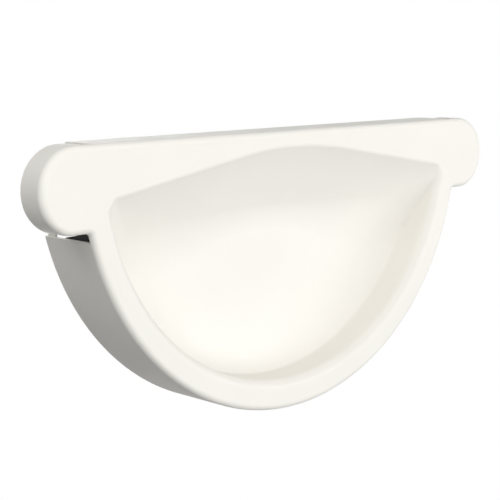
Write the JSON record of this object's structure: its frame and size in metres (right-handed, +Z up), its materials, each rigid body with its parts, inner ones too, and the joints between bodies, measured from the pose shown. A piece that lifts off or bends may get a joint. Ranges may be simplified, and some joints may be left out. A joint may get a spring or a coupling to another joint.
{
  "type": "gutter end cap",
  "caption": "Half-round gutter end cap pressed from painted sheet steel, with round side lobes, a drawn dish, a hemmed rear flange and a rubber seal in the rim.",
  "frame": {"origin": "centre of the half-round, in the plane of the flat outer face", "axes": "+X across the gutter, +Y from the outer face into the gutter, +Z up"},
  "size_m": [0.1554, 0.019, 0.0712],
  "materials": {
    "painted_sheet": "satin warm white coil coating",
    "black_rubber": "matt moulded rubber"
  },
  "bodies": {
    "root": {"end_cap": "painted_sheet", "rubber_seal": "black_rubber"}
  },
  "joints": []
}
